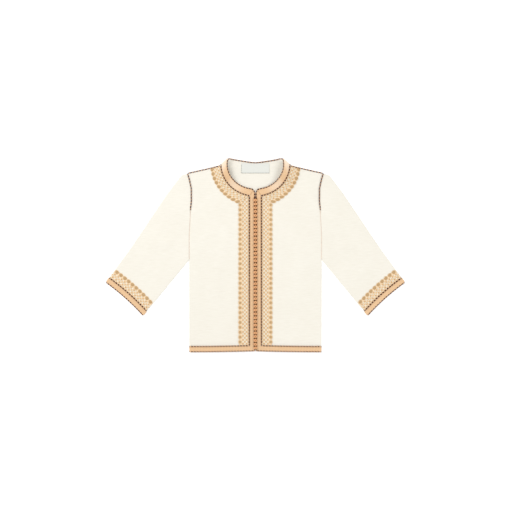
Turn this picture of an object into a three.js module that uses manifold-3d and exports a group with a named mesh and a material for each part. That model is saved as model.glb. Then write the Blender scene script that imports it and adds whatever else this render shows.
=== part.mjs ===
// A child's jabador: a collarless cream jacket, laid flat on its back and closed down the front.
// Its edges carry woven braid between twisted cords, scalloped lace and a column of knotted buttons.
// Millimetres, +Z up. The origin is on the surface it lies on, under the middle of the garment.
// The neck points to +Y and the wearer's left side to +X.
import * as THREE from 'three';
import { mergeVertices } from 'three/addons/utils/BufferGeometryUtils.js';
import Module from 'manifold-3d';

// Cloth and trims, in section
const cloth = 1.2;
const seamGap = 0.3;
const braidThickness = 0.9;
const laceThickness = 0.8;
const cordRadius = 1.3;
const cordSides = 6;
const cordRoom = cordRadius + seamGap;
const frontUnder = cloth + seamGap;
const frontTop = frontUnder + cloth;
const trimUnder = frontTop + seamGap;
const edgeCordHeight = trimUnder;
const laidCordHeight = trimUnder + cordRadius;

// Body outline
const hemSideY = -221.8;
const hemRise = 2.3;
const hemBand = 12.2;
const hemHalfWidth = 152;
const shoulder = { x: 156.3, y: 188.2 };
const shoulderNeck = { x: 79.2, y: 205.6 };
const neckCorner = { x: 61.2, y: 222.3 };
const neckCentreY = 208;
const sideTopY = 112;
const underarmEase = 25;
const armhole = [
  { x: 152.5, y: -10.8 },
  { x: 152.6, y: 43 },
  { x: 149.3, y: 107 },
  { x: 147.4, y: 125 },
  { x: 147.7, y: 154 },
  { x: 152.2, y: 175 },
  { x: 156.3, y: 188.2 },
];

// Three lines that the trims follow, each a straight front line that turns into an ellipse round the neck
const edgeLine = { frontX: 2.2, across: 65.1, down: 56.3, topAngle: 15, cornerCut: 2.6 };
const bandLine = { frontX: 13.9, across: 79.2, down: 72, topAngle: 0.5, cornerCut: 0 };
const laceLine = { frontX: 39.5, across: 104, down: 97, topAngle: -4, cornerCut: 0 };
const turn = { before: 0.986, after: 1.045 };

// Lace scallops and knots
const scallopPitch = 11.4;
const scallopDepth = 2.6;
const scallopSteps = 3;
const scallopShare = 0.6;
const neckArc = 1.1;
const knot = { count: 40, firstY: 126.5, lastY: -213, halfWidth: 4.4, halfLength: 3.9, halfHeight: 2.5, sides: 7 };
const knotThread = { halfWidth: 1.3, height: 1.2 };

// Back neck and label
const backNeckY = 212.8;
const backNeckCurve = 1.25;
const backBand = 12;
const backBandRise = 7;
const label = { width: 65, height: 22.6, topY: 211.6, thickness: 0.6 };

// Sleeve sections from armhole to wrist: the fold at the top, the fold under the arm, and how far each bows
const sleeveSections = [
  { topX: 156.3, topY: 188.2, underX: 152.5, underY: -10.8, bow: 0 },
  { topX: 170.3, topY: 184, underX: 158, underY: -17.2, bow: 0 },
  { topX: 182.8, topY: 167.7, underX: 165, underY: -25.6, bow: 0 },
  { topX: 201.7, topY: 142.5, underX: 176, underY: -38.9, bow: 0 },
  { topX: 230.7, topY: 99.8, underX: 192, underY: -58.1, bow: 0.5 },
  { topX: 260.5, topY: 54.7, underX: 207, underY: -76.2, bow: 1 },
  { topX: 290.8, topY: 9.9, underX: 221, underY: -93.1, bow: 2 },
  { topX: 321.2, topY: -31.5, underX: 234.1, underY: -108.9, bow: 3 },
  { topX: 336.2, topY: -51.5, underX: 250, underY: -128.1, bow: 3 },
  { topX: 343.5, topY: -62.3, underX: 258.4, underY: -138.2, bow: 3 },
];
const laceSection = 7;
const cordSection = 8;
const cuffSection = 9;
const cuffBandDepth = 13;
const cuffBandTop = 3.6;
const cuffLaceDepth = 25;
const cuffWidth = 114;
const foldRadius = frontTop / 2;
const foldSteps = 4;

// Soft folds of the upper layer, ridge by ridge, and the stand of the cloth beside the neck
const folds = [
  { fromX: 92, fromY: 70, toX: 112, toY: -120, width: 58, height: 1.8 },
  { fromX: 64, fromY: -60, toX: 76, toY: -185, width: 40, height: 1.1 },
  { fromX: -84, fromY: 40, toX: -100, toY: -170, width: 56, height: 1.7 },
  { fromX: -62, fromY: 90, toX: -74, toY: -30, width: 36, height: 1 },
  { fromX: 176, fromY: 18, toX: 246, toY: 22, width: 46, height: 1.8 },
  { fromX: 196, fromY: 110, toX: 268, toY: 0, width: 44, height: 1.3 },
  { fromX: -174, fromY: 22, toX: -236, toY: 34, width: 44, height: 1.9 },
  { fromX: -214, fromY: 84, toX: -262, toY: -28, width: 46, height: 1.4 },
];
const loft = 0.8;
const neckStand = { x: 68, y: 192, reach: 40, height: 3 };

const cream = new THREE.MeshStandardMaterial({ color: 0xf8f4e6, roughness: 0.85 });
const braidGold = new THREE.MeshStandardMaterial({ color: 0xe6bf94, roughness: 0.55 });
const laceGold = new THREE.MeshStandardMaterial({ color: 0xe9cda9, roughness: 0.65 });
const cordPlum = new THREE.MeshStandardMaterial({ color: 0x7a4a45, roughness: 0.6 });
const knotBrown = new THREE.MeshStandardMaterial({ color: 0xc09167, roughness: 0.6 });
const labelWhite = new THREE.MeshStandardMaterial({ color: 0xe6ebe3, roughness: 0.4 });

const group = new THREE.Group();

function addPiece(name, geometry, material) {
  const mesh = new THREE.Mesh(geometry, material);
  mesh.name = name;
  group.add(mesh);
}

function mix(a, b, share) {
  return a + (b - a) * share;
}

function mixPoints(a, b, share) {
  return { x: mix(a.x, b.x, share), y: mix(a.y, b.y, share) };
}

function evenly(from, to, count) {
  return Array.from({ length: count + 1 }, (_, i) => mix(from, to, i / count));
}

// A smooth hump: 1 in the middle, 0 from a distance of 1 outwards
function hump(distance) {
  return distance < 1 ? 0.5 + 0.5 * Math.cos(Math.PI * distance) : 0;
}

// Closed solids

function solidFrom(points, faces) {
  const positions = points.flatMap((p) => [p.x, p.y, p.z]);
  let volume = 0;
  for (const [a, b, c] of faces) {
    volume += points[a].dot(new THREE.Vector3().crossVectors(points[b], points[c]));
  }
  const outward = volume > 0 ? faces : faces.map(([a, b, c]) => [a, c, b]);
  const geometry = new THREE.BufferGeometry();
  geometry.setAttribute('position', new THREE.Float32BufferAttribute(positions, 3));
  geometry.setIndex(outward.flat());
  geometry.computeVertexNormals();
  return geometry;
}

// A wall between two grids of the same size: rows of points below and rows of points above
function wallBetween(under, over) {
  const rows = under.length;
  const columns = under[0].length;
  const points = [...under.flat(), ...over.flat()];
  const low = (r, c) => r * columns + c;
  const high = (r, c) => rows * columns + low(r, c);
  const faces = [];
  const quad = (a, b, c, d) => faces.push([a, b, c], [a, c, d]);
  for (let r = 0; r + 1 < rows; r++) {
    for (let c = 0; c + 1 < columns; c++) {
      quad(high(r, c), high(r, c + 1), high(r + 1, c + 1), high(r + 1, c));
      quad(low(r, c), low(r + 1, c), low(r + 1, c + 1), low(r, c + 1));
    }
    quad(low(r, 0), high(r, 0), high(r + 1, 0), low(r + 1, 0));
    quad(high(r, columns - 1), low(r, columns - 1), low(r + 1, columns - 1), high(r + 1, columns - 1));
  }
  for (let c = 0; c + 1 < columns; c++) {
    quad(low(0, c), low(0, c + 1), high(0, c + 1), high(0, c));
    quad(high(rows - 1, c), high(rows - 1, c + 1), low(rows - 1, c + 1), low(rows - 1, c));
  }
  return solidFrom(points, faces);
}

// A wall between an outer and an inner tube, each a list of closed rings of the same size
function wallOfRings(outer, inner) {
  const size = outer[0].length;
  const points = [...outer.flat(), ...inner.flat()];
  const last = outer.length - 1;
  const out = (r, i) => r * size + (i % size);
  const inn = (r, i) => outer.length * size + out(r, i);
  const faces = [];
  const quad = (a, b, c, d) => faces.push([a, b, c], [a, c, d]);
  for (let i = 0; i < size; i++) {
    for (let r = 0; r < last; r++) {
      quad(out(r, i), out(r, i + 1), out(r + 1, i + 1), out(r + 1, i));
      quad(inn(r, i), inn(r + 1, i), inn(r + 1, i + 1), inn(r, i + 1));
    }
    quad(out(0, i), inn(0, i), inn(0, i + 1), out(0, i + 1));
    quad(out(last, i), out(last, i + 1), inn(last, i + 1), inn(last, i));
  }
  return solidFrom(points, faces);
}

// A round cord along a path, with mitred corners and flat ends
function cordAlong(path) {
  const up = new THREE.Vector3(0, 0, 1);
  const points = [];
  path.forEach((point, i) => {
    const before = path[Math.max(i - 1, 0)];
    const after = path[Math.min(i + 1, path.length - 1)];
    const arrive = new THREE.Vector3().subVectors(point, before).normalize();
    const leave = new THREE.Vector3().subVectors(after, point).normalize();
    const along = new THREE.Vector3().addVectors(arrive, leave).normalize();
    const stretch = i > 0 && i < path.length - 1 ? 1 / along.dot(leave) : 1;
    const across = new THREE.Vector3().crossVectors(along, up).normalize();
    const rise = new THREE.Vector3().crossVectors(across, along);
    for (let k = 0; k < cordSides; k++) {
      const angle = (2 * Math.PI * (k + 0.5)) / cordSides;
      const offset = across.clone().multiplyScalar(cordRadius * Math.cos(angle) * stretch);
      offset.addScaledVector(rise, cordRadius * Math.sin(angle));
      points.push(offset.add(point));
    }
  });
  const faces = [];
  for (let i = 0; i + 1 < path.length; i++) {
    for (let k = 0; k < cordSides; k++) {
      const next = (k + 1) % cordSides;
      const a = i * cordSides;
      const b = a + cordSides;
      faces.push([a + k, b + k, b + next], [a + k, b + next, a + next]);
    }
  }
  const end = (path.length - 1) * cordSides;
  for (let k = 1; k + 1 < cordSides; k++) {
    faces.push([0, k, k + 1], [end, end + k + 1, end + k]);
  }
  return solidFrom(points, faces);
}

// The garment's lines

function hemY(x) {
  return hemSideY + hemRise * (1 - Math.abs(x) / hemHalfWidth) ** 2;
}

function sideX(y) {
  const lowest = armhole[0];
  if (y <= lowest.y) {
    return mix(hemHalfWidth, lowest.x, (y - hemSideY) / (lowest.y - hemSideY));
  }
  let i = 1;
  while (i < armhole.length - 1 && y > armhole[i].y) i++;
  const [a, b] = [armhole[i - 1], armhole[i]];
  return mix(a.x, b.x, (y - a.y) / (b.y - a.y));
}

// A point on a trim line, moved out by grow. place is -1 at the hem, 0 above the hem band,
// 1 where the line turns to the neck and 2 at the shoulder.
function linePoint(line, grow, place) {
  const x = line.frontX + grow;
  const across = line.across + grow;
  const down = line.down + grow;
  const turnAngle = -Math.acos(x / across);
  const reach = place > 1 ? turn.after - 1 : 1 - turn.before;
  const cut = line.cornerCut * Math.max(0, 1 - Math.abs(place - 1) / reach);
  if (place > 1) {
    const angle = mix(turnAngle, THREE.MathUtils.degToRad(line.topAngle), place - 1);
    return { x: across * Math.cos(angle) + cut, y: neckCentreY + down * Math.sin(angle) - cut };
  }
  const turnY = neckCentreY + down * Math.sin(turnAngle);
  const base = hemY(x) + hemBand;
  const y = place < 0 ? base + hemBand * place : mix(base, turnY, place);
  return { x: x + cut, y: y - cut };
}

// Room for the armhole cord, which fades in below the underarm
function sideRoom(y) {
  return cordRoom * THREE.MathUtils.clamp((y - armhole[0].y) / underarmEase + 1, 0, 1);
}

function sidePoint(place) {
  const base = hemY(hemHalfWidth) + hemBand;
  const level = place < 0 ? base + hemBand * place : mix(base, sideTopY, place);
  const y = place > 1 ? mix(sideTopY, shoulder.y, place - 1) : level;
  return { x: sideX(y) - sideRoom(y), y };
}

// Moves a point below the shoulder seam, to leave room for its cord
function belowShoulder(point) {
  const slope = (shoulder.y - shoulderNeck.y) / (shoulder.x - shoulderNeck.x);
  const seamY = shoulderNeck.y + slope * (point.x - shoulderNeck.x) - cordRoom * Math.hypot(1, slope);
  return { x: point.x, y: point.x > shoulderNeck.x - 1 ? Math.min(point.y, seamY) : point.y };
}

// How far the upper layer stands above its flat place
function rise(x, y) {
  let height = 0;
  for (const fold of folds) {
    const dx = fold.toX - fold.fromX;
    const dy = fold.toY - fold.fromY;
    const length = Math.hypot(dx, dy);
    const along = ((x - fold.fromX) * dx + (y - fold.fromY) * dy) / length ** 2;
    const aside = Math.abs((x - fold.fromX) * dy - (y - fold.fromY) * dx) / length;
    height += fold.height * hump(aside / (fold.width / 2)) * hump(Math.abs(along * 2 - 1));
  }
  const distance = Math.hypot(Math.abs(x) - neckStand.x, y - neckStand.y);
  return height + neckStand.height * hump(distance / neckStand.reach);
}

function onFront(side, point, height) {
  return new THREE.Vector3(side * point.x, point.y, height + rise(side * point.x, point.y));
}

function stripOnFront(side, rows, under, thickness) {
  return wallBetween(
    rows.map((row) => row.map((point) => onFront(side, point, under))),
    rows.map((row) => row.map((point) => onFront(side, point, under + thickness))),
  );
}

// Body panels

const hemInset = cordRoom / hemBand;
const frontPlaces = [-1 + hemInset, 0, ...evenly(1 / 14, 13 / 14, 12), turn.before, 1, turn.after, ...evenly(1.13, 2, 9)];

function frontRow(place) {
  const inner = linePoint(edgeLine, cordRoom, place);
  const band = linePoint(bandLine, 0, place);
  const lace = linePoint(laceLine, 0, place);
  const side = sidePoint(place);
  const field = evenly(0, 1, 6).map((share) => mixPoints(lace, side, share));
  const row = [inner, band, ...field];
  return place === 2 ? row.map(belowShoulder) : row;
}

function addFront(side, name) {
  const rows = frontPlaces.map(frontRow);
  addPiece(`front_${name}`, stripOnFront(side, rows, frontUnder, cloth), cream);
}

function backTopY(x) {
  const reach = Math.abs(x) / shoulderNeck.x;
  if (reach < 1) {
    return backNeckY - cordRoom - backBand - seamGap + backBandRise * reach ** 2;
  }
  return belowShoulder({ x: Math.abs(x), y: neckCorner.y }).y;
}

function addBack() {
  const base = hemBand + seamGap;
  const shares = [0, 0.13, 0.26, 0.39, 0.505, 0.63, 0.75, 0.88, 1];
  const columns = [...shares.slice(1).reverse().map((share) => -share), ...shares];
  const rows = evenly(0, 1, 12).map((level) =>
    columns.map((share) => {
      const top = backTopY(share * (shoulder.x - cordRoom));
      const y = mix(hemY(share * hemHalfWidth) + base, top, level);
      const edgeY = mix(hemY(hemHalfWidth) + base, backTopY(shoulder.x - cordRoom), level);
      return new THREE.Vector3(share * (sideX(edgeY) - sideRoom(edgeY)), y, 0);
    }),
  );
  const over = rows.map((row) => row.map((point) => point.clone().setZ(cloth)));
  addPiece('back_panel', wallBetween(rows, over), cream);
}

function flatStrip(rows) {
  return wallBetween(
    rows.map((row) => row.map((point) => new THREE.Vector3(point.x, point.y, 0))),
    rows.map((row) => row.map((point) => new THREE.Vector3(point.x, point.y, cloth))),
  );
}

function backNeckEdge(share) {
  return { x: share * neckCorner.x, y: mix(backNeckY, neckCorner.y, Math.abs(share) ** backNeckCurve) };
}

function addBackBraids() {
  const hemRows = evenly(-1, 1, 8).map((share) => {
    const x = share * hemHalfWidth;
    return [{ x, y: hemY(x) }, { x, y: hemY(x) + hemBand }];
  });
  addPiece('hem_braid_back', flatStrip(hemRows), braidGold);
  const neckRows = evenly(-1, 1, 12).map((share) => {
    const edge = backNeckEdge(share);
    const x = share * (shoulderNeck.x - seamGap);
    return [{ x, y: backTopY(x) + seamGap }, { x: edge.x, y: edge.y - cordRoom }];
  });
  addPiece('neck_braid_back', flatStrip(neckRows), braidGold);
}

// Braid, lace and cords on the fronts

const placeGap = 0.006;
const neckPlaces = [1, turn.after, ...evenly(1.13, 2, 9)];

function braidRows(places) {
  return places.map((place) => [
    linePoint(edgeLine, cordRoom, place),
    linePoint(bandLine, -cordRoom, place),
  ]);
}

function addFrontBraids(side, name) {
  const neckRows = braidRows([1 + placeGap, ...neckPlaces.slice(1)]);
  addPiece(`neck_braid_${name}`, stripOnFront(side, neckRows, trimUnder, braidThickness), braidGold);

  const innerX = edgeLine.frontX + cordRoom;
  const outerX = bandLine.frontX - cordRoom;
  const foot = [
    { x: innerX, y: hemY(innerX) + cordRoom + seamGap },
    { x: outerX, y: hemY(outerX) + hemBand - cordRoom + seamGap },
  ];
  const frontRows = [foot, ...braidRows([0.02, ...evenly(1 / 14, 13 / 14, 12), turn.before, 1 - placeGap])];
  addPiece(`front_braid_${name}`, stripOnFront(side, frontRows, trimUnder, braidThickness), braidGold);

  const hemRows = evenly(0, 1, 6).map((share) => {
    const lowX = mix(innerX + seamGap, hemHalfWidth, share);
    const highX = mix(outerX + seamGap, hemHalfWidth, share);
    return [
      { x: lowX, y: hemY(lowX) + cordRoom },
      { x: highX, y: hemY(highX) + hemBand - cordRoom },
    ];
  });
  addPiece(`hem_braid_${name}`, stripOnFront(side, hemRows, trimUnder, braidThickness), braidGold);
}

function scallop(phase) {
  return scallopDepth * (Math.abs(Math.sin(Math.PI * phase)) - scallopShare);
}

function addFrontLace(side, name) {
  const hemStart = cordRoom / (linePoint(laceLine, 0, 1).y - linePoint(laceLine, 0, 0).y);
  const frontCount = Math.round((linePoint(laceLine, 0, 1).y - linePoint(laceLine, 0, 0).y) / scallopPitch);
  const frontRows = evenly(0, frontCount, frontCount * scallopSteps).map((phase) => {
    const place = mix(hemStart, 1 - placeGap, phase / frontCount);
    return [linePoint(bandLine, cordRoom, place), linePoint(laceLine, scallop(phase), place)];
  });
  addPiece(`front_lace_${name}`, stripOnFront(side, frontRows, trimUnder, laceThickness), laceGold);

  const start = linePoint(laceLine, 0, 1 + placeGap);
  const end = linePoint(laceLine, 0, 2);
  const neckCount = Math.round((neckArc * Math.hypot(end.x - start.x, end.y - start.y)) / scallopPitch);
  const neckRows = evenly(0, neckCount, neckCount * scallopSteps).map((phase) => {
    const place = mix(1 + placeGap, 2, phase / neckCount);
    const row = [linePoint(bandLine, cordRoom, place), linePoint(laceLine, scallop(phase), place)];
    return phase > neckCount - 1 ? row.map(belowShoulder) : row;
  });
  addPiece(`neck_lace_${name}`, stripOnFront(side, neckRows, trimUnder, laceThickness), laceGold);
}

function addFrontCords(side, name) {
  const hemRun = evenly(1, 0, 5);
  const edgePath = [
    ...hemRun.map((share) => mix(edgeLine.frontX, hemHalfWidth, share)).map((x) => ({ x, y: hemY(x) })),
    ...evenly(1 / 7, 6 / 7, 5).map((place) => linePoint(edgeLine, 0, place)),
    linePoint(edgeLine, 0, turn.before),
    ...neckPlaces.map((place) => linePoint(edgeLine, 0, place)),
  ];
  const edge = edgePath.map((point) => onFront(side, point, edgeCordHeight));
  addPiece(`edge_cord_${name}`, cordAlong(edge), cordPlum);

  const bandPath = [
    ...hemRun.map((share) => mix(bandLine.frontX, hemHalfWidth, share)).map((x) => ({ x, y: hemY(x) + hemBand })),
    ...evenly(1 / 7, 6 / 7, 5).map((place) => linePoint(bandLine, 0, place)),
    ...neckPlaces.map((place) => linePoint(bandLine, 0, place)),
  ];
  const band = bandPath.map((point) => onFront(side, point, laidCordHeight));
  addPiece(`inner_cord_${name}`, cordAlong(band), cordPlum);
}

function addSeamCords(side, name) {
  const seam = [0.03, 0.35, 0.65, 0.97].map((share) => mixPoints(shoulderNeck, shoulder, share));
  const shoulderPath = seam.map((point) => onFront(side, point, edgeCordHeight));
  addPiece(`shoulder_cord_${name}`, cordAlong(shoulderPath), cordPlum);

  const sunken = (cordRadius + frontTop) / 2;
  const armholePath = [...armhole].reverse().map((point) => {
    const height = point.y > 100 ? edgeCordHeight : sunken;
    return new THREE.Vector3(side * point.x, point.y, height);
  });
  addPiece(`armhole_cord_${name}`, cordAlong(armholePath), cordPlum);
}

function addBackNeckCord() {
  const path = evenly(-0.97, 0.97, 12).map((share) => {
    const point = backNeckEdge(share);
    return new THREE.Vector3(point.x, point.y, cordRadius + seamGap);
  });
  addPiece('neck_cord_back', cordAlong(path), cordPlum);
}

// Sleeves

// A point of the sleeve's plan. across is 0 at the fold under the arm and 1 at the top fold,
// section counts from the armhole and may lie between two rows of the table.
function sleevePlan(across, section) {
  const i = Math.min(Math.floor(section), sleeveSections.length - 2);
  const share = section - i;
  const [a, b] = [sleeveSections[i], sleeveSections[i + 1]];
  const under = { x: mix(a.underX, b.underX, share), y: mix(a.underY, b.underY, share) };
  const top = { x: mix(a.topX, b.topX, share), y: mix(a.topY, b.topY, share) };
  const point = mixPoints(under, top, across);
  const length = Math.hypot(top.x - under.x, top.y - under.y);
  const bow = mix(a.bow, b.bow, share) * 4 * across * (1 - across);
  const fade = Math.max(0, 1 - section / 3);
  const hollow = fade * (sideX(mix(armhole[0].y, shoulder.y, across)) - mix(armhole[0].x, shoulder.x, across));
  const seamRoom = cordRoom * Math.max(0, 1 - section);
  point.x += seamRoom + hollow - (bow * (top.y - under.y)) / length;
  point.y += (bow * (top.x - under.x)) / length;
  return point;
}

function sleeveRise(section, point) {
  const calm = hump(Math.abs(section / laceSection - 0.5) * 2) ** 0.5;
  return calm * (loft + rise(point.x, point.y));
}

// One section through the folded tube, out from the middle of the cloth walls or in
function sleeveRing(side, section, heights, inset, steps) {
  const spans = 8;
  const upper = evenly(0, 1, spans);
  const edge = sleeveSections[0];
  const width = Math.hypot(edge.topX - edge.underX, edge.topY - edge.underY);
  const margin = inset / width;
  const ring = [];
  const middle = (heights.low + heights.high) / 2;
  const half = (heights.high - heights.low) / 2;
  const plan = (across, aside) => {
    const point = sleevePlan(mix(margin, 1 - margin, across), section);
    const next = sleevePlan(mix(margin, 1 - margin, across) + 0.01, section);
    const length = Math.hypot(next.x - point.x, next.y - point.y);
    point.x += (aside * (next.x - point.x)) / length;
    point.y += (aside * (next.y - point.y)) / length;
    return point;
  };
  const place = (point, height, lifted) => {
    const up = lifted ? sleeveRise(section, { x: side * point.x, y: point.y }) : 0;
    ring.push(new THREE.Vector3(side * point.x, point.y, height + up));
  };
  const turn = (across, direction, from) => {
    for (let k = 1; k < steps; k++) {
      const angle = from - (Math.PI * k) / steps;
      place(plan(across, direction * half * Math.abs(Math.cos(angle))), middle + half * Math.sin(angle), false);
    }
  };
  upper.forEach((across) => place(plan(across, 0), heights.high, across > 0 && across < 1));
  turn(1, 1, Math.PI / 2);
  [...upper].reverse().forEach((across) => place(plan(across, 0), heights.low, false));
  turn(0, -1, -Math.PI / 2);
  return ring;
}

function tubeWall(side, sections, top) {
  const outside = { low: 0, high: top };
  const inside = { low: cloth, high: frontUnder };
  return wallOfRings(
    sections.map((section) => sleeveRing(side, section, outside, foldRadius, foldSteps)),
    sections.map((section) => sleeveRing(side, section, inside, foldRadius, foldSteps)),
  );
}

function addSleeve(side, name) {
  const end = cordSection + cordRadius / cuffBandDepth;
  const sections = [0, 0.5, 1, 1.5, 2, 2.6, 3.2, 3.8, 4.4, 5, 5.6, 6.2, 6.7, laceSection, 7.5, end];
  addPiece(`sleeve_${name}`, tubeWall(side, sections, frontTop), cream);

  const bandStart = cordSection + cordRoom / cuffBandDepth;
  const bandEnd = cuffSection - cordRoom / cuffBandDepth;
  addPiece(`cuff_braid_${name}`, tubeWall(side, [bandStart, bandEnd], cuffBandTop), braidGold);
}

function onSleeve(side, across, section, height) {
  const point = sleevePlan(across, section);
  return new THREE.Vector3(side * point.x, point.y, height);
}

function addCuffTrims(side, name) {
  const margin = 0.012;
  const inner = cordSection - cordRoom / cuffLaceDepth;
  const count = Math.round((cuffWidth * (1 - 2 * margin)) / scallopPitch);
  const pitch = (1 - 2 * margin) / count;
  const rows = evenly(0, count, count * scallopSteps).map((phase) => [
    { across: margin + phase * pitch, section: inner },
    { across: margin + phase * pitch, section: laceSection - scallop(phase) / cuffLaceDepth },
  ]);
  const layer = (height) => rows.map((row) => row.map((p) => onSleeve(side, p.across, p.section, height)));
  addPiece(`cuff_lace_${name}`, wallBetween(layer(trimUnder), layer(trimUnder + laceThickness)), laceGold);

  const run = evenly(0.005, 0.995, 8);
  const innerCord = run.map((across) => onSleeve(side, across, cordSection, laidCordHeight));
  addPiece(`cuff_inner_cord_${name}`, cordAlong(innerCord), cordPlum);
  const edgeCord = run.map((across) => onSleeve(side, across, cuffSection, foldRadius));
  addPiece(`cuff_edge_cord_${name}`, cordAlong(edgeCord), cordPlum);
}

// Knots and label

const wasm = await Module();
wasm.setup();

function toManifold(geometry) {
  const bare = geometry.clone();
  bare.deleteAttribute('normal');
  bare.deleteAttribute('uv');
  const merged = mergeVertices(bare, 1e-4);
  const mesh = new wasm.Mesh({
    numProp: 3,
    vertProperties: new Float32Array(merged.attributes.position.array),
    triVerts: new Uint32Array(merged.index.array),
  });
  return new wasm.Manifold(mesh);
}

function fromManifold(solid) {
  const mesh = solid.getMesh();
  const geometry = new THREE.BufferGeometry();
  geometry.setAttribute('position', new THREE.BufferAttribute(new Float32Array(mesh.vertProperties), 3));
  geometry.setIndex(new THREE.BufferAttribute(new Uint32Array(mesh.triVerts), 1));
  geometry.computeVertexNormals();
  return geometry;
}

function addKnots() {
  const under = edgeCordHeight + cordRadius + seamGap;
  const length = knot.firstY - knot.lastY;
  const thread = new THREE.BoxGeometry(knotThread.halfWidth * 2, length, knotThread.height);
  thread.translate(0, (knot.firstY + knot.lastY) / 2, under + knotThread.height / 2);
  let solid = toManifold(thread);
  for (const y of evenly(knot.firstY, knot.lastY, knot.count - 1)) {
    const ball = new THREE.SphereGeometry(1, knot.sides, 4);
    ball.rotateX(Math.PI / 2);
    ball.scale(knot.halfWidth, knot.halfLength, knot.halfHeight);
    ball.translate(0, y, under + knot.halfHeight);
    solid = solid.add(toManifold(ball));
  }
  addPiece('knot_buttons', fromManifold(solid), knotBrown);
}

function addLabel() {
  const piece = new THREE.BoxGeometry(label.width, label.height, label.thickness);
  piece.translate(0, label.topY - label.height / 2, cloth + seamGap + label.thickness / 2);
  addPiece('label', piece, labelWhite);
}

addBack();
addBackBraids();
addBackNeckCord();
addLabel();
for (const [side, name] of [[1, 'left'], [-1, 'right']]) {
  addFront(side, name);
  addSleeve(side, name);
  addFrontBraids(side, name);
  addFrontLace(side, name);
  addFrontCords(side, name);
  addSeamCords(side, name);
  addCuffTrims(side, name);
}
addKnots();

export default group;
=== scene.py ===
import bpy
import math
import numpy as np
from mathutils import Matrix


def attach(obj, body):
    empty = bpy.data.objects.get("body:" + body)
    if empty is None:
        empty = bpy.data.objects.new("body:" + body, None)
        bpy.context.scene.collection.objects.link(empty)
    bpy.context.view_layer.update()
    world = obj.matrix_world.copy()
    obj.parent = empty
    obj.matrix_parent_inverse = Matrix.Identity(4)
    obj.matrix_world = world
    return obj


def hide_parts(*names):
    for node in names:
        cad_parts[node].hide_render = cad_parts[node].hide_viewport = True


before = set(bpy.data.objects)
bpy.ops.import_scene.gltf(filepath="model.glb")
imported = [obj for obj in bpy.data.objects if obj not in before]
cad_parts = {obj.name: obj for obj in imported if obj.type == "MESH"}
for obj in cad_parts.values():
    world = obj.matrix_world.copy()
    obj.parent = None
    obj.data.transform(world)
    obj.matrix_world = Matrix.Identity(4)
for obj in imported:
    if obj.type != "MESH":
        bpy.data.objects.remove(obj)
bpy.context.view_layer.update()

mm = 0.001
sides = {"Left": 1, "Right": -1}


# Garment measures in millimetres: neck to +Y, wearer's left to +X, the floor at z = 0
jacket = {
    "frontTop": 2.7,           # outer face of the upper layer
    "trimTop": 3.9,            # outer face of the braid on it
    "hemSideY": -221.8,
    "hemRise": 2.3,
    "hemBand": 12.2,
    "hemHalf": 152.0,
    "shoulder": (156.3, 188.2),
    "shoulderNeck": (79.2, 205.6),
    "neckCorner": (61.2, 222.3),
    "neckCentreY": 208.0,
    "backNeckY": 212.8,
    "backNeckCurve": 1.25,
    "underarmY": -10.8,
    "sideTopY": 112.0,
    "seamRoom": 1.6,           # from a cord's middle to the cloth beside it
    "sunkenCordY": 108.0,      # below this the armhole cord is drawn into the seam
}

# Side seam and armhole from the hem to the shoulder: y and x
sideLine = [(-221.8, 152.0), (-10.8, 152.5), (43.0, 152.6), (107.0, 149.3), (125.0, 147.4),
            (154.0, 147.7), (175.0, 152.2), (188.2, 156.3)]

# The lines that the trims follow: straight down the front and an ellipse round the neck
edgeLine = {"frontX": 2.2, "across": 65.1, "down": 56.3, "topAngle": 15.0, "cornerCut": 2.6}
bandLine = {"frontX": 13.9, "across": 79.2, "down": 72.0, "topAngle": 0.5, "cornerCut": 0.0}
laceLine = {"frontX": 39.5, "across": 104.0, "down": 97.0, "topAngle": -4.0, "cornerCut": 0.0}
turnReach = (0.014, 0.045)  # how far before and after the turn its corner is cut

# Sleeve sections from armhole to wrist: top fold x and y, fold under the arm x and y, bow
sleeveRows = np.array([
    (156.3, 188.2, 152.5, -10.8, 0.0),
    (170.3, 184.0, 158.0, -17.2, 0.0),
    (182.8, 167.7, 165.0, -25.6, 0.0),
    (201.7, 142.5, 176.0, -38.9, 0.0),
    (230.7, 99.8, 192.0, -58.1, 0.5),
    (260.5, 54.7, 207.0, -76.2, 1.0),
    (290.8, 9.9, 221.0, -93.1, 2.0),
    (321.2, -31.5, 234.1, -108.9, 3.0),
    (336.2, -51.5, 250.0, -128.1, 3.0),
    (343.5, -62.3, 258.4, -138.2, 3.0),
])
laceSection, cordSection, cuffSection = 7, 8, 9

# Soft creases of the upper layer: from x, y to x, y, then width and height
creases = [
    (92, 70, 112, -120, 58, 1.8), (64, -60, 76, -185, 40, 1.1), (-84, 40, -100, -170, 56, 1.7),
    (-62, 90, -74, -30, 36, 1.0), (176, 18, 246, 22, 46, 1.8), (196, 110, 268, 0, 44, 1.3),
    (-174, 22, -236, 34, 44, 1.9), (-214, 84, -262, -28, 46, 1.4), (60, 96, 132, 82, 26, 0.5),
    (70, 40, 144, 6, 22, 0.6), (-70, 66, -142, 30, 24, 0.55), (58, -110, 140, -96, 30, 0.45),
    (-56, -84, -128, -70, 26, 0.5), (118, -10, 146, -150, 18, 0.5), (-128, 20, -146, -120, 20, 0.45),
    (52, 20, 60, -90, 16, 0.35), (-50, -30, -58, -150, 18, 0.4), (170, 96, 206, 60, 20, 0.7),
    (170, 60, 214, 40, 16, 0.6), (-170, 84, -206, 70, 18, 0.7), (-168, 52, -220, 20, 16, 0.55),
    (236, -20, 284, -46, 26, 0.6), (-240, 10, -292, -20, 24, 0.6), (222, 66, 286, -18, 14, 0.4),
    (-232, 70, -284, -6, 14, 0.45), (180, 150, 222, 104, 18, 0.5), (-182, 150, -214, 112, 16, 0.5),
    (110, 168, 142, 120, 24, 0.6), (-106, 160, -140, 132, 24, 0.6), (166, -4, 192, -20, 14, 0.7),
    (-166, -6, -196, -16, 14, 0.7),
]
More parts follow.
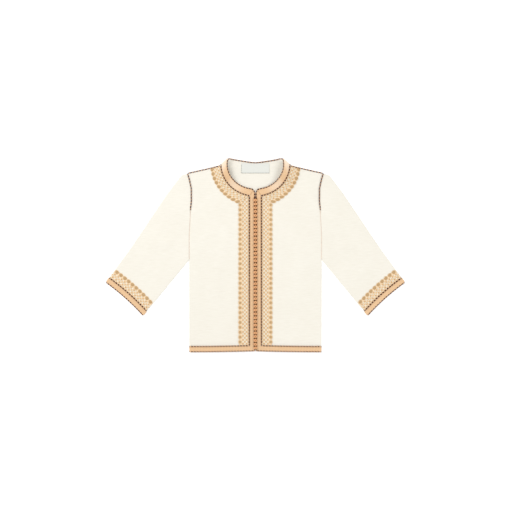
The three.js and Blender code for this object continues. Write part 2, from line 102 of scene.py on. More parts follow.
neckStand = {"x": 64.0, "y": 196.0, "reach": 49.0, "height": 14.3}
seamLook = {"near": 2.0, "reach": 12.0, "close": 0.6}  # the back meets the front at the shoulder seam


def lerp(a, b, share):
    return a + (b - a) * share


def hump(distance):
    return 0.5 + 0.5 * np.cos(np.pi * np.clip(np.abs(distance), 0, 1))


def smoothStep(value):
    t = np.clip(value, 0, 1)
    return t * t * (3 - 2 * t)


def standAt(stand, x, y):
    distance = np.hypot(np.abs(x) - stand["x"], y - stand["y"])
    return stand["height"] * hump(distance / stand["reach"])


def hemY(x):
    return jacket["hemSideY"] + jacket["hemRise"] * (1 - np.abs(x) / jacket["hemHalf"]) ** 2


def sideX(y):
    ys, xs = zip(*sideLine)
    return np.interp(y, ys, xs)


# Room for the armhole cord: none at the side seam, little where the cord is drawn in
def sideRoom(y):
    room = jacket["seamRoom"] - 1.0 * smoothStep((jacket["sunkenCordY"] - y) / 16)
    return room * smoothStep((y - jacket["underarmY"] + 5) / 6)


def rise(x, y):
    total = standAt(neckStand, x, y)
    for x0, y0, x1, y1, width, height in creases:
        dx, dy = x1 - x0, y1 - y0
        length = math.hypot(dx, dy)
        along = ((x - x0) * dx + (y - y0) * dy) / length**2
        aside = ((x - x0) * dy - (y - y0) * dx) / length
        total = total + height * hump(aside * 2 / width) * hump(along * 2 - 1)
    return total


# Height of the back: drawn up to the front at the shoulder seam, and flat a little way from it
def backRise(x, y):
    seam = [jacket["neckCorner"], jacket["shoulderNeck"], jacket["shoulder"]]
    distances = []
    for (x0, y0), (x1, y1) in zip(seam, seam[1:]):
        dx, dy = x1 - x0, y1 - y0
        share = np.clip(((np.abs(x) - x0) * dx + (y - y0) * dy) / (dx * dx + dy * dy), 0, 1)
        distances.append(np.hypot(np.abs(x) - x0 - share * dx, y - y0 - share * dy))
    away = np.maximum(np.minimum(*distances) - seamLook["near"], 0) / (seamLook["reach"] - seamLook["near"])
    return (standAt(neckStand, x, y) + seamLook["close"]) * hump(away)


# A point on a trim line, moved out by grow: place -1 is the hem, 0 the top of its band,
# 1 the turn to the neck and 2 the shoulder
def linePoint(line, grow, place):
    place = np.asarray(place, dtype=float)
    x = line["frontX"] + grow
    across, down = line["across"] + grow, line["down"] + grow
    turnAngle = -math.acos(x / across)
    turnY = jacket["neckCentreY"] + down * math.sin(turnAngle)
    base = hemY(x) + jacket["hemBand"]
    frontY = np.where(place < 0, base + jacket["hemBand"] * place, lerp(base, turnY, place))
    angle = lerp(turnAngle, math.radians(line["topAngle"]), np.clip(place - 1, 0, 1))
    neckX, neckY = across * np.cos(angle), jacket["neckCentreY"] + down * np.sin(angle)
    reach = np.where(place > 1, turnReach[1], turnReach[0])
    cut = line["cornerCut"] * np.clip(1 - np.abs(place - 1) / reach, 0, 1)
    return np.where(place > 1, neckX, x) + cut, np.where(place > 1, neckY, frontY) - cut


def belowShoulder(x, y, room):
    (sx, sy), (nx, ny) = jacket["shoulder"], jacket["shoulderNeck"]
    slope = (sy - ny) / (sx - nx)
    seam = ny + slope * (x - nx) - room * math.hypot(1, slope)
    return np.where(x > nx - 1, np.minimum(y, seam), y)


def backNeckEdge(share):
    cornerX, cornerY = jacket["neckCorner"]
    return share * cornerX, lerp(jacket["backNeckY"], cornerY, np.abs(share) ** jacket["backNeckCurve"])


def sleevePlan(across, section):
    across, section = np.asarray(across, dtype=float), np.asarray(section, dtype=float)
    index = np.arange(len(sleeveRows))
    topX, topY, underX, underY, bow = (np.interp(section, index, sleeveRows[:, k]) for k in range(5))
    length = np.hypot(topX - underX, topY - underY)
    bend = bow * 4 * across * (1 - across)
    shoulderX, shoulderY = jacket["shoulder"]
    y = lerp(jacket["underarmY"], shoulderY, across)
    hollow = np.clip(1 - section / 3, 0, 1) * (sideX(y) - lerp(sleeveRows[0, 2], shoulderX, across))
    seam = np.maximum(sideRoom(y), 0.6) * np.clip(1 - section, 0, 1)
    return (lerp(underX, topX, across) + seam + hollow - bend * (topY - underY) / length,
            lerp(underY, topY, across) + bend * (topX - underX) / length)


def sleeveRise(across, section, x, y):
    calm = np.sqrt(hump(section / laceSection * 2 - 1)) * (section < laceSection)
    return calm * (0.8 + rise(x, y)) * np.sin(np.pi * np.clip(across, 0, 1)) ** 0.5


# Mesh helpers

def selectOnly(*pieces):
    bpy.ops.object.select_all(action="DESELECT")
    for piece in pieces:
        piece.select_set(True)
    bpy.context.view_layer.objects.active = pieces[0]


def inEditMode(piece, *steps):
    selectOnly(piece)
    bpy.ops.object.mode_set(mode="EDIT")
    bpy.ops.mesh.select_all(action="SELECT")
    for step in steps:
        step()
    bpy.ops.object.mode_set(mode="OBJECT")


# Sends each point of a mesh, in millimetres, where place says
def movePoints(piece, place):
    flat = np.empty(len(piece.data.vertices) * 3)
    piece.data.vertices.foreach_get("co", flat)
    flat[0::3], flat[1::3], flat[2::3] = place(flat[0::3] / mm, flat[1::3] / mm, flat[2::3] / mm)
    piece.data.vertices.foreach_set("co", flat * mm)
    piece.data.update()


# Sends each point of a UV map where change says
def changeUv(piece, change):
    layer = piece.data.uv_layers.active
    uv = np.empty(len(layer.data) * 2)
    layer.data.foreach_get("uv", uv)
    uv[0::2], uv[1::2] = change(uv[0::2].copy(), uv[1::2].copy())
    layer.data.foreach_set("uv", uv)


# A grid whose points go where place sends u and w, both from 0 to 1; size is that of its UV map
def shapedGrid(name, columns, rows, place, size=(1.0, 1.0), ring=False):
    bpy.ops.object.select_all(action="DESELECT")
    bpy.ops.mesh.primitive_grid_add(x_subdivisions=columns, y_subdivisions=rows, size=mm)
    piece = bpy.context.object
    piece.name = piece.data.name = name
    movePoints(piece, lambda x, y, z: place(x + 0.5, y + 0.5))
    changeUv(piece, lambda u, v: (u * (size[0] * mm), v * (size[1] * mm)))
    if ring:
        inEditMode(piece, lambda: bpy.ops.mesh.remove_doubles(threshold=1e-6))
    return piece


def facesOut(piece):
    inEditMode(piece, lambda: bpy.ops.mesh.normals_make_consistent(inside=False))


# Turns an open sheet so that its faces look up
def facesUp(piece):
    facesOut(piece)
    if sum(face.normal.z * face.area for face in piece.data.polygons) < 0:
        inEditMode(piece, bpy.ops.mesh.flip_normals)


# A tube with both its ends closed: u goes round it, w along it
def closedTube(name, around, rows, place, size):
    tube = shapedGrid(name, around, rows, place, size, ring=True)
    inEditMode(tube, lambda: bpy.ops.mesh.fill_holes(sides=0))
    facesOut(tube)
    return tube


# A ball of 1 mm radius with a pole at its top and foot, its faces in the same order in every run
def makeBall(segments, rings):
    def place(u, w):
        turn, slope = 2 * np.pi * (u + 0.25), np.pi * w
        return np.cos(turn) * np.sin(slope), np.sin(turn) * np.sin(slope), np.cos(slope)
    ball = shapedGrid("ball", segments, rings, place, ring=True)
    facesOut(ball)
    return ball


def applyModifier(piece, kind, **settings):
    selectOnly(piece)
    modifier = piece.modifiers.new(kind.title(), kind)
    for key, value in settings.items():
        setattr(modifier, key, value)
    bpy.ops.object.modifier_apply(modifier=modifier.name)


def joinPieces(name, pieces):
    selectOnly(*pieces)
    if len(pieces) > 1:
        bpy.ops.object.join()
    pieces[0].name = pieces[0].data.name = name
    return pieces[0]


def smooth(piece, angle):
    selectOnly(piece)
    bpy.ops.object.shade_smooth_by_angle(angle=math.radians(angle))


# Gives a sheet its thickness below the face that shows
def thicken(piece, thickness):
    applyModifier(piece, "SOLIDIFY", thickness=thickness * mm, offset=-1, use_even_offset=True)
    facesOut(piece)
    smooth(piece, 60)


def repeat(piece, count, pitch):
    applyModifier(piece, "ARRAY", count=count, use_relative_offset=False, use_constant_offset=True,
                  constant_offset_displace=(pitch * mm, 0, 0), use_merge_vertices=True, merge_threshold=1e-5)
    return piece


def paint(piece, *materials):
    piece.data.materials.clear()
    for material in materials:
        piece.data.materials.append(material)


def settle(piece, slot, *nodes):
    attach(piece, "root")
    if nodes:
        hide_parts(*nodes)


def onBothSides(make):
    return {name: make(name, side) for name, side in sides.items()}


# Faces an open sheet up and gives it its thickness, material and place in the jacket
def finishSheet(piece, thickness, material, slot, node):
    facesUp(piece)
    thicken(piece, thickness)
    paint(piece, material)
    settle(piece, slot, node)
    return piece


# Materials

def linear(hexColour):
    channels = [int(hexColour[i:i + 2], 16) / 255 for i in (1, 3, 5)]
    return [c / 12.92 if c <= 0.04045 else ((c + 0.055) / 1.055) ** 2.4 for c in channels] + [1.0]


def addNode(tree, kind, settings=None, inputs=None, links=None):
    node = tree.nodes.new(kind)
    for key, value in (settings or {}).items():
        setattr(node, key, value)
    for key, value in (inputs or {}).items():
        node.inputs[key].default_value = value
    for key, (source, socket) in (links or {}).items():
        tree.links.new(source.outputs[socket], node.inputs[key])
    return node


def newMaterial(name, shader):
    material = bpy.data.materials.new(name)
    material.use_nodes = True
    tree = material.node_tree
    principled = tree.nodes["Principled BSDF"]
    for key, value in shader.items():
        principled.inputs[key].default_value = value
    return material, tree, principled


# A material of fibres: with its coordinates, and a soft sheen where the eye meets it at a low angle
def newFibre(name, roughness, gloss, sheen, sheenRoughness=0.4):
    material, tree, shader = newMaterial(name, {
        "Roughness": roughness, "Specular IOR Level": gloss, "Sheen Weight": sheen,
        "Sheen Roughness": sheenRoughness})
    return material, tree, shader, addNode(tree, "ShaderNodeTexCoord")


# Noise along stretched coordinates: fibres, slubs or grain
def addFibres(tree, coords, output, scale, detail, roughness=0.5):
    stretch = addNode(tree, "ShaderNodeMapping", None, {"Scale": scale}, {"Vector": (coords, output)})
    return addNode(tree, "ShaderNodeTexNoise", None,
                   {"Scale": 1.0, "Detail": detail, "Roughness": roughness}, {"Vector": (stretch, 0)})


# A look's dark and light mixed by a value that runs from low to high
def addColours(tree, look, value, low, high):
    share = addNode(tree, "ShaderNodeMapRange", None, {"From Min": low, "From Max": high}, {"Value": value})
    return addNode(tree, "ShaderNodeMix", {"data_type": "RGBA"},
                   {6: linear(look["dark"]), 7: linear(look["light"])}, {0: (share, 0)})


# Gives the shader its colour, and relief from each height with its strength and depth in metres
def dressShader(tree, shader, colour, reliefs):
    tree.links.new(colour.outputs[2], shader.inputs["Base Color"])
    normal = {}
    for height, strength, depth in reliefs:
        bump = addNode(tree, "ShaderNodeBump", None, {"Strength": strength, "Distance": depth},
                       {"Height": height} | normal)
        normal = {"Normal": (bump, 0)}
    tree.links.new(bump.outputs[0], shader.inputs["Normal"])


crepeLook = {"light": "#f4f0e5", "dark": "#ece7da", "threadMm": 1.1, "cloudScale": 14.0,
             "slubScale": (60.0, 900.0, 60.0), "grainScale": 420.0}


# Cream cotton crepe, plain woven and pressed: matt, a little slubby, with a soft bloom at glancing angles
def makeCreamCrepe():
    material, tree, shader, coords = newFibre("creamCottonCrepe", 0.86, 0.22, 0.15, 0.5)
    place = {"Vector": (coords, "Object")}
    cloudy = addNode(tree, "ShaderNodeTexNoise", None,
                     {"Scale": crepeLook["cloudScale"], "Detail": 4.0, "Roughness": 0.6}, place)
    slub = addFibres(tree, coords, "Object", crepeLook["slubScale"], 2.0)
    both = addNode(tree, "ShaderNodeMath", {"operation": "MULTIPLY_ADD"}, {1: 0.5},
                   {0: (cloudy, "Fac"), 2: (slub, "Fac")})
    # Warp and weft as two crossed waves; the real thread is 0.4 mm, drawn coarser to show
    parts = addNode(tree, "ShaderNodeSeparateXYZ", None, None, place)
    waves = []
    for axis in ("X", "Y"):
        turns = addNode(tree, "ShaderNodeMath", {"operation": "MULTIPLY"},
                        {1: math.pi / (crepeLook["threadMm"] * mm)}, {0: (parts, axis)})
        waves.append(addNode(tree, "ShaderNodeMath", {"operation": "SINE"}, None, {0: (turns, 0)}))
    weave = addNode(tree, "ShaderNodeMath", {"operation": "MULTIPLY"}, None,
                    {0: (waves[0], 0), 1: (waves[1], 0)})
    grain = addNode(tree, "ShaderNodeTexNoise", None, {"Scale": crepeLook["grainScale"], "Detail": 2.0},
                    place)
    dressShader(tree, shader, addColours(tree, crepeLook, (both, 0), 0.45, 1.05),
                [((weave, 0), 0.16, 0.0002), ((grain, "Fac"), 0.12, 0.0006)])
    return material


# Spun or laid thread: fine streaks along the UV map's length, or grain on Object coordinates
def makeThread(name, light, dark, roughness, scale, output="UV", relief=0.3, gloss=0.35):
    material, tree, shader, coords = newFibre(name, roughness, gloss, gloss * 0.3)
    fibres = addFibres(tree, coords, output, scale, 3.0, 0.65)
    colour = addColours(tree, {"light": light, "dark": dark}, (fibres, "Fac"), 0.3, 0.7)
    dressShader(tree, shader, colour, [((fibres, "Fac"), relief, 0.0002)])
    return material


# The ribs of such a braid are about 1 mm apart, drawn coarser to show
# The braid's pale colour for its painted highlight on the neck is kept under the sheen colour key
braidLook = {"light": "#f3cfa5", "dark": "#d9ad7e", "sheenColour": "#fbe9d3", "ribMm": 1.6, "slant": 1.1,
             "ridges": 4}


# Hand-woven viscose braid: plaited ridges side by side, their ribs slanting to and fro, silky; on the neck
# braid a painted highlight mixes it toward a paler colour, as much as the per-point sheen share says
def makeGoldBraid():
    material, tree, shader, coords = newFibre("goldViscoseBraid", 0.48, 0.4, 0.1)
    parts = addNode(tree, "ShaderNodeSeparateXYZ", None, None, {"Vector": (coords, "UV")})
    across = addNode(tree, "ShaderNodeMath", {"operation": "MULTIPLY"}, {1: braidLook["ridges"]},
                     {0: (parts, "X")})
    zigzag = addNode(tree, "ShaderNodeMath", {"operation": "PINGPONG"}, {1: 1.0}, {0: (across, 0)})
    ribs = addNode(tree, "ShaderNodeMath", {"operation": "MULTIPLY"}, {1: 1 / (braidLook["ribMm"] * mm)},
                   {0: (parts, "Y")})
    slanted = addNode(tree, "ShaderNodeMath", {"operation": "MULTIPLY_ADD"}, {1: braidLook["slant"]},
                      {0: (zigzag, 0), 2: (ribs, 0)})
    turns = addNode(tree, "ShaderNodeMath", {"operation": "MULTIPLY"}, {1: 2 * math.pi}, {0: (slanted, 0)})
    wave = addNode(tree, "ShaderNodeMath", {"operation": "SINE"}, None, {0: (turns, 0)})
    fibres = addFibres(tree, coords, "UV", (6.0, 900.0, 1.0), 3.0)
    both = addNode(tree, "ShaderNodeMath", {"operation": "MULTIPLY_ADD"}, {1: 0.22},
                   {0: (wave, 0), 2: (fibres, "Fac")})
    colour = addColours(tree, braidLook, (both, 0), 0.2, 0.75)
    # Painted highlight: the braid's colour is mixed toward a pale colour by a per-point share of painted
    # sheen
    paintedSheen = addNode(tree, "ShaderNodeAttribute", {"attribute_name": "paintedSheen"})
    sheenedColour = addNode(tree, "ShaderNodeMix", {"data_type": "RGBA"}, {7: linear(braidLook["sheenColour"])},
                   {0: (paintedSheen, "Fac"), 6: (colour, 2)})
    dressShader(tree, shader, sheenedColour, [((both, 0), 0.5, 0.0003)])
    return material


# Painted shade on the knots: dot is the painted shade in a knot's middle, rim the painted shade round its
# foot
knotShadeLook = {"light": "#e9ae7a", "dark": "#94572a", "dot": (0.05, 0.12), "rim": (0.52, 0.42)}


# Knotted silk cord with painted light and shade: gold painted on the crown of each knot as if lit, and brown
# painted shade in its hollow middle and round its foot
def makeShadedKnotSilk():
    material, tree, shader, coords = newFibre("knottedSilkPaintedShade", 0.5, 0.35, 0.1)
    parts = addNode(tree, "ShaderNodeSeparateXYZ", None, None, {"Vector": (coords, "UV")})
    shares = []
    for low, high in (knotShadeLook["dot"], knotShadeLook["rim"]):
        shares.append(addNode(tree, "ShaderNodeMapRange", None, {"From Min": low, "From Max": high},
                              {"Value": (parts, "Y")}))
    # Painted light on the crown between the middle and the foot, painted shade at both
    least = addNode(tree, "ShaderNodeMath", {"operation": "MINIMUM"}, None,
                    {0: (shares[0], 0), 1: (shares[1], 0)})
    fibres = addFibres(tree, coords, "Object", (1200.0, 1200.0, 1200.0), 2.0)
    dressShader(tree, shader, addColours(tree, knotShadeLook, (least, 0), 0.0, 1.0),
                [((fibres, "Fac"), 0.3, 0.0002)])
    return material


creamCrepe = makeCreamCrepe()
goldBraid = makeGoldBraid()
shadedKnotSilk = makeShadedKnotSilk()
along, evenly = (900.0, 250.0, 1.0), (900.0, 900.0, 900.0)  # how fine a thread's streaks or grain are
# Cotton net: matt and warm. Satin stitch: laid smooth, so it shines a little where it turns
goldLace = makeThread("goldCottonLace", "#f4d9b3", "#deba8e", 0.7, (700.0, 700.0, 700.0), "Object")
goldStitch = makeThread("goldSatinStitch", "#dab688", "#c09969", 0.55, evenly, "Object")
paleStitch = makeThread("paleGoldSatinStitch", "#fff0d4", "#f6ddb4", 0.5, evenly, "Object")
petalStitch = makeThread("paleBrownSatinStitch", "#cdac7e", "#b18c5f", 0.55, evenly, "Object")
# Twisted viscose: deep colour and hardly any shine, so the cord reads as a dark line
plumPly = makeThread("plumViscosePly", "#5a1a0b", "#340d05", 0.55, along, gloss=0.12)
brownPly = makeThread("darkBrownViscosePly", "#6e2c10", "#4a1b0a", 0.55, along, gloss=0.12)
darkSilk = makeThread("darkBrownSilkLoop", "#7c3f12", "#54290a", 0.55, (1200.0, 1200.0, 1200.0), "Object",
                      gloss=0.12)
# Sewing threads: smooth and pale. Cotton ply: matt, near the cloth's own cream
stitchThread = makeThread("palePinkStitchingThread", "#fbd8b4", "#e8ba8e", 0.5, along)
# Grey thread for the label's left end and foot: it draws the shadow line round the label, a painted shadow
labelShadowThread = makeThread("greyThreadPaintedShadow", "#a9ada6", "#94988f", 0.6, evenly, "Object")
creamPly = makeThread("creamCottonPly", "#f1e5d8", "#e2d1c2", 0.7, along)
# Satin ribbon: cool white, and smoother than all the cloth round it
whiteSatin = makeThread("whiteSatinRibbon", "#e7e7e0", "#dddfd8", 0.35, (120.0, 3000.0, 120.0), "Object",
                        relief=0.1)
print("materials made")


# Floor, light and camera

stageLook = {"floorSize": 16.0, "floorTop": -0.2, "lens": 85.0, "sensor": 36.0, "mmPerPixel": 2.3,
             "imagePixels": 512, "middle": (1.4, -1.6), "worldStrength": 0.58, "floorGlow": 0.2}
lamps = {
    "keyLight": {"place": (-1.15, 1.0, 1.75), "size": 1.4, "power": 26.0},
    "fillLight": {"place": (1.35, -0.75, 1.8), "size": 1.3, "power": 16.0},
}


def makeStage():
    bpy.ops.object.select_all(action="DESELECT")
    bpy.ops.mesh.primitive_plane_add(
        size=stageLook["floorSize"], location=(0, 0, stageLook["floorTop"] * mm))
    floor = bpy.context.object
    floor.name = "paleFloor"
    paint(floor, newMaterial("whiteLitAcrylicSheet", {  # lit a little from below, so shadows stay faint
        "Base Color": linear("#fbfbfb"), "Roughness": 0.9, "Specular IOR Level": 0.1,
        "Emission Color": linear("#ffffff"), "Emission Strength": stageLook["floorGlow"]})[0])
    scene = bpy.context.scene
    scene.world = bpy.data.worlds.new("whiteStudio")
    scene.world.use_nodes = True
    background = scene.world.node_tree.nodes["Background"]
    background.inputs["Color"].default_value = linear("#ffffff")
    background.inputs["Strength"].default_value = stageLook["worldStrength"]
    for name, lamp in lamps.items():
        bpy.ops.object.light_add(type="AREA", location=lamp["place"])
        light = bpy.context.object
        light.name = name
        light.data.energy = lamp["power"]
        light.data.size = lamp["size"]
        light.rotation_euler = (-light.location).to_track_quat("-Z", "Y").to_euler()
    pictureWidth = stageLook["mmPerPixel"] * stageLook["imagePixels"] * mm
    height = pictureWidth * stageLook["lens"] / stageLook["sensor"] + jacket["frontTop"] * mm
    middleX, middleY = stageLook["middle"]
    bpy.ops.object.camera_add(location=(middleX * mm, middleY * mm, height), rotation=(0, 0, 0))
    camera = bpy.context.object
    camera.data.lens = stageLook["lens"]
    camera.data.sensor_width = stageLook["sensor"]
    camera.data.clip_end = 20
    scene.camera = camera
    scene.view_settings.view_transform = "Standard"


makeStage()
print("stage made")


# Back panel: lies on the floor, and steps over the braids on its outside

backLook = {"columns": 128, "rows": 160, "cloth": 0.6, "neckBand": 12.0, "neckBandRise": 7.0,
            "overBand": 0.55, "ease": 4.0, "hemInset": 0.8, "floorGap": 0.02, "size": (304, 440)}


def backTopY(x):
    x = np.abs(x)
    (cornerX, cornerY), (nx, ny) = jacket["neckCorner"], jacket["shoulderNeck"]
    dip = backNeckEdge(x / cornerX)[1] - jacket["seamRoom"]
    slant = lerp(cornerY, ny, (x - cornerX) / (nx - cornerX)) - jacket["seamRoom"]
    outer = belowShoulder(x, cornerY, jacket["seamRoom"])
    return np.where(x < cornerX, dip, np.where(x < nx, slant, outer))


def backNeckBandY(x):
    low = jacket["backNeckY"] - jacket["seamRoom"] - backLook["neckBand"]
    return low + backLook["neckBandRise"] * (x / jacket["shoulderNeck"][0]) ** 2


def backPlan(u, w):
    share = 2 * u - 1
    topEdge = backTopY(share * (jacket["shoulder"][0] - jacket["seamRoom"]))
    lowEdge = hemY(share * jacket["hemHalf"]) + backLook["hemInset"]
    y = lerp(lowEdge, topEdge, w)
    edgeY = lerp(jacket["hemSideY"], jacket["shoulder"][1] - jacket["seamRoom"], w)
    x = share * (sideX(edgeY) - sideRoom(edgeY))
    overNeck = (y - backNeckBandY(x)) / backLook["ease"] + 1
    overNeck = smoothStep(overNeck) * smoothStep((jacket["shoulderNeck"][0] + 4 - np.abs(x)) / 4)
    overHem = smoothStep((hemY(x) + jacket["hemBand"] - y) / backLook["ease"] + 1)
    overBands = backLook["overBand"] * np.maximum(overNeck, overHem)
    return x, y, backLook["cloth"] + overBands + backRise(x, y) + backLook["floorGap"]


backPanel = shapedGrid("backPanel", backLook["columns"], backLook["rows"], backPlan, backLook["size"])
finishSheet(backPanel, backLook["cloth"], creamCrepe, "jacket_cloth", "back_panel")
print("back panel made")


# Fronts: from the front edge out to side seam and armhole, rolled down to the seams

frontLook = {"columns": 84, "rows": 190, "cloth": 0.7, "roll": 4.0, "rollDrop": 1.0, "size": (152, 440),
             "fitFrom": 1.6}  # from this place on, the rows close up to the shoulder seam
railShares = [0.0, 0.08, 0.24, 1.0]  # of the columns: front edge, inner cord, lace edge, side seam


# How far a point of the upper layer lies above its flat place, rolled down at the side seam
def frontRise(side, x, y):
    fromSide = sideX(y) - sideRoom(y) - x
    roll = np.clip(1 - fromSide / frontLook["roll"], 0, 1) ** 2
    return rise(side * x, y) - frontLook["rollDrop"] * roll


# A point of the front's plan: u runs over the rails, span from -1 at the hem to 2 at the shoulder
def frontPoint(u, span):
    base = hemY(jacket["hemHalf"]) + jacket["hemBand"]
    level = np.where(span < 0, base + jacket["hemBand"] * span, lerp(base, jacket["sideTopY"], span))
    sideY = np.where(span > 1, lerp(jacket["sideTopY"], jacket["shoulder"][1], span - 1), level)
    rails = [linePoint(edgeLine, jacket["seamRoom"], span), linePoint(bandLine, 0, span),
             linePoint(laceLine, 0, span), (sideX(sideY) - sideRoom(sideY), sideY)]
    x, y = rails[0]
    for k in range(3):
        share = np.clip((u - railShares[k]) / (railShares[k + 1] - railShares[k]), 0, 1)
        x = np.where(u >= railShares[k], lerp(rails[k][0], rails[k + 1][0], share), x)
        y = np.where(u >= railShares[k], lerp(rails[k][1], rails[k + 1][1], share), y)
    return x, y


def frontPlan(side):
    def place(u, w):
        span = lerp(-1 + jacket["seamRoom"] / jacket["hemBand"], 2, w)
        x, y = frontPoint(u, span)
        topX, topY = frontPoint(u, np.full_like(u, 2.0))
        excess = topY - belowShoulder(topX, topY, jacket["seamRoom"])
        y = y - excess * np.clip((span - frontLook["fitFrom"]) / (2 - frontLook["fitFrom"]), 0, 1)
        return side * x, y, jacket["frontTop"] + frontRise(side, x, y)
    return place


def makeFront(name, side):
    piece = shapedGrid("front" + name, frontLook["columns"], frontLook["rows"], frontPlan(side),
                       frontLook["size"])
    return finishSheet(piece, frontLook["cloth"], creamCrepe, "jacket_cloth", "front_" + name.lower())


fronts = onBothSides(makeFront)
print("fronts made")


# Sleeves: one folded tube each, its under layer flat on the floor

sleeveLook = {"around": 120, "along": 150, "cloth": 0.7, "turnShare": 0.06, "margin": 0.007,
              "lastSection": 8.1, "size": (380, 260)}


# One folded tube: u goes round it, w along it from the first section to the last
def tubePlace(side, first, last, top, surface=None):
    half = top / 2
    turnShare, margin = sleeveLook["turnShare"], sleeveLook["margin"]

    def place(u, w):
        section = lerp(first, last, w)
        part, run = u % 1.0, 0.5 - turnShare
        spans = [part < run, (part >= run) & (part < 0.5), (part >= 0.5) & (part < 0.5 + run)]
        across = np.select(spans, [part / run, 1.0, 1 - (part - 0.5) / run], 0.0)
        turn = np.pi * np.where(spans[1], part - run, part - 0.5 - run) / turnShare
        height = np.select(spans, [top, half + half * np.cos(turn), 0.0], half - half * np.cos(turn))
        out = np.select(spans, [0.0, half * np.sin(turn), 0.0], -half * np.sin(turn))
        x, y = sleevePlan(lerp(margin, 1 - margin, across), section)
        nextX, nextY = sleevePlan(lerp(margin, 1 - margin, across) + 0.01, section)
        length = np.hypot(nextX - x, nextY - y)
        x, y = x + out * (nextX - x) / length, y + out * (nextY - y) / length
        if surface:
            height = height + np.where(spans[0], surface(across, section, side * x, y), 0)
        return side * x, y, height
    return place


def makeSleeve(name, side):
    place = tubePlace(side, 0.0, sleeveLook["lastSection"], jacket["frontTop"], sleeveRise)
    piece = shapedGrid("sleeve" + name, sleeveLook["around"], sleeveLook["along"], place,
                       sleeveLook["size"], ring=True)
    facesOut(piece)
    thicken(piece, sleeveLook["cloth"])
    paint(piece, creamCrepe)
    settle(piece, "jacket_cloth", "sleeve_" + name.lower())
    return piece


sleeves = onBothSides(makeSleeve)
print("sleeves made")


# Braid: woven bands with rounded lengthwise ridges, laid between the cords

bandLook = {"thickness": 0.9, "ridgeHeight": 0.35, "edgeDrop": 0.4, "columns": 16, "stepMm": 2.5,
            "edgeRoom": 0.85, "room": 1.25, "mitreRoom": 0.3, "mitreInset": 2.2, "mitreStitch": (0.9, 0.45),
            "lengths": {"neck": 112, "front": 366, "hem": 148}}
# How much painted highlight lightens the neck braid, a painted sheen where it turns round the neck, from the
# turn at the front edge to the shoulder
neckPaintedSheen = [(0.0, 0.0), (0.12, 0.0), (0.2, 0.1), (0.3, 0.35), (0.4, 0.45), (0.5, 0.4), (0.58, 0.02),
            (0.75, 0.02), (0.88, 0.55), (1.0, 0.95)]


# Height over a band's own width: u from 0 to 1
def bandRelief(u):
    ridge = np.abs(np.sin(np.pi * braidLook["ridges"] * u))
    edge = np.sqrt(np.clip(1 - (2 * u - 1) ** 8, 0, 1))
    return bandLook["ridgeHeight"] * (ridge - 1) + bandLook["edgeDrop"] * (edge - 1)


def makeBand(name, plan, length, height, paintedSheen=None):
    rows = max(8, round(length / bandLook["stepMm"]))

    def place(u, w):
        x, y = plan(u, w)
        return x, y, height(x, y) + bandRelief(u)
    piece = shapedGrid(name, bandLook["columns"], rows, place, (1000, length))
    # The share of painted highlight at each point, stored for the braid's material
    if paintedSheen:
        w = np.repeat(np.linspace(0, 1, rows + 1), bandLook["columns"] + 1)
        values = piece.data.attributes.new("paintedSheen", "FLOAT", "POINT").data
        values.foreach_set("value", np.interp(w, *zip(*paintedSheen)))
    facesUp(piece)
    thicken(piece, bandLook["thickness"])
    paint(piece, goldBraid)
    return piece


def onFront(side, level):
    return lambda x, y: level + frontRise(side, np.abs(x), y)


def neckBandPlan(side):
    def plan(u, w):
        place = lerp(1.0002, 2, w)
        x0, y0 = linePoint(edgeLine, bandLook["edgeRoom"], place)
        x1, y1 = linePoint(bandLine, -bandLook["room"], place)
        return side * lerp(x0, x1, u), lerp(y0, y1, u)
    return plan


# A rail of the front's braid, from a foot above the hem up to the mitre
def frontRail(line, grow, foot, w):
    top, low = linePoint(line, grow, 1)[1] + line["cornerCut"], hemY(line["frontX"]) + jacket["hemBand"]
    y = lerp(hemY(line["frontX"]) + foot, top, w)
    place = np.where(y < low, (y - low) / jacket["hemBand"], (y - low) / (top - low))
    return linePoint(line, grow, np.minimum(place, 1))


def frontBandPlan(side):
    def plan(u, w):
        low, high = bandLook["room"], jacket["hemBand"] - bandLook["room"]
        x0, y0 = frontRail(edgeLine, bandLook["edgeRoom"], low + bandLook["mitreRoom"], w)
        x1, y1 = frontRail(bandLine, -bandLook["room"], high + bandLook["mitreRoom"], w)
        return side * lerp(x0, x1, u), lerp(y0, y1, u)
    return plan


def hemBandPlan(side):
    def plan(u, w):
        lowX = lerp(edgeLine["frontX"] + bandLook["edgeRoom"], jacket["hemHalf"], w)
        highX = lerp(bandLine["frontX"] - bandLook["room"], jacket["hemHalf"], w)
        lowY, highY = hemY(lowX) + bandLook["room"], hemY(highX) + jacket["hemBand"] - bandLook["room"]
        return side * lerp(lowX, highX, u), lerp(lowY, highY, u)
    return plan


# The hand stitches along the mitre where the neck and front braids meet
def makeMitreSeam(side, level):
    inset, (radius, height) = bandLook["mitreInset"], bandLook["mitreStitch"]
    (x0, y0), (x1, y1) = linePoint(edgeLine, inset, 1), linePoint(bandLine, -inset, 1)

    def place(u, w):
        angle, x, y = 2 * np.pi * u, lerp(x0, x1, w), lerp(y0, y1, w)
        swell = 0.55 + 0.45 * np.abs(np.sin(4 * np.pi * w))
        aside = radius * swell * np.cos(angle) * 0.7
        return side * (x + aside), y + aside, level(x, y) - 0.1 + height * swell * np.sin(angle)
    seam = closedTube("mitreSeam", 8, 16, place, (4, 20))
    smooth(seam, 60)
    paint(seam, goldStitch)
    return seam


def makeFrontBraids(name, side):
    level = onFront(side, jacket["trimTop"])
    pieces = []
    for part, plan in (("neck", neckBandPlan), ("front", frontBandPlan), ("hem", hemBandPlan)):
        paintedSheen = neckPaintedSheen if part == "neck" else None
        piece = makeBand(part + "Braid" + name, plan(side), bandLook["lengths"][part], level, paintedSheen)
        if part == "neck":
            piece = joinPieces(piece.name, [piece, makeMitreSeam(side, level)])
        settle(piece, "braid", f"{part}_braid_{name.lower()}")
        pieces.append(piece)
    return pieces


frontBraids = onBothSides(makeFrontBraids)


cuffBraidLook = {"depth": 13.0, "top": 3.6, "thickness": 0.8, "around": 96, "across": 16, "length": 230}


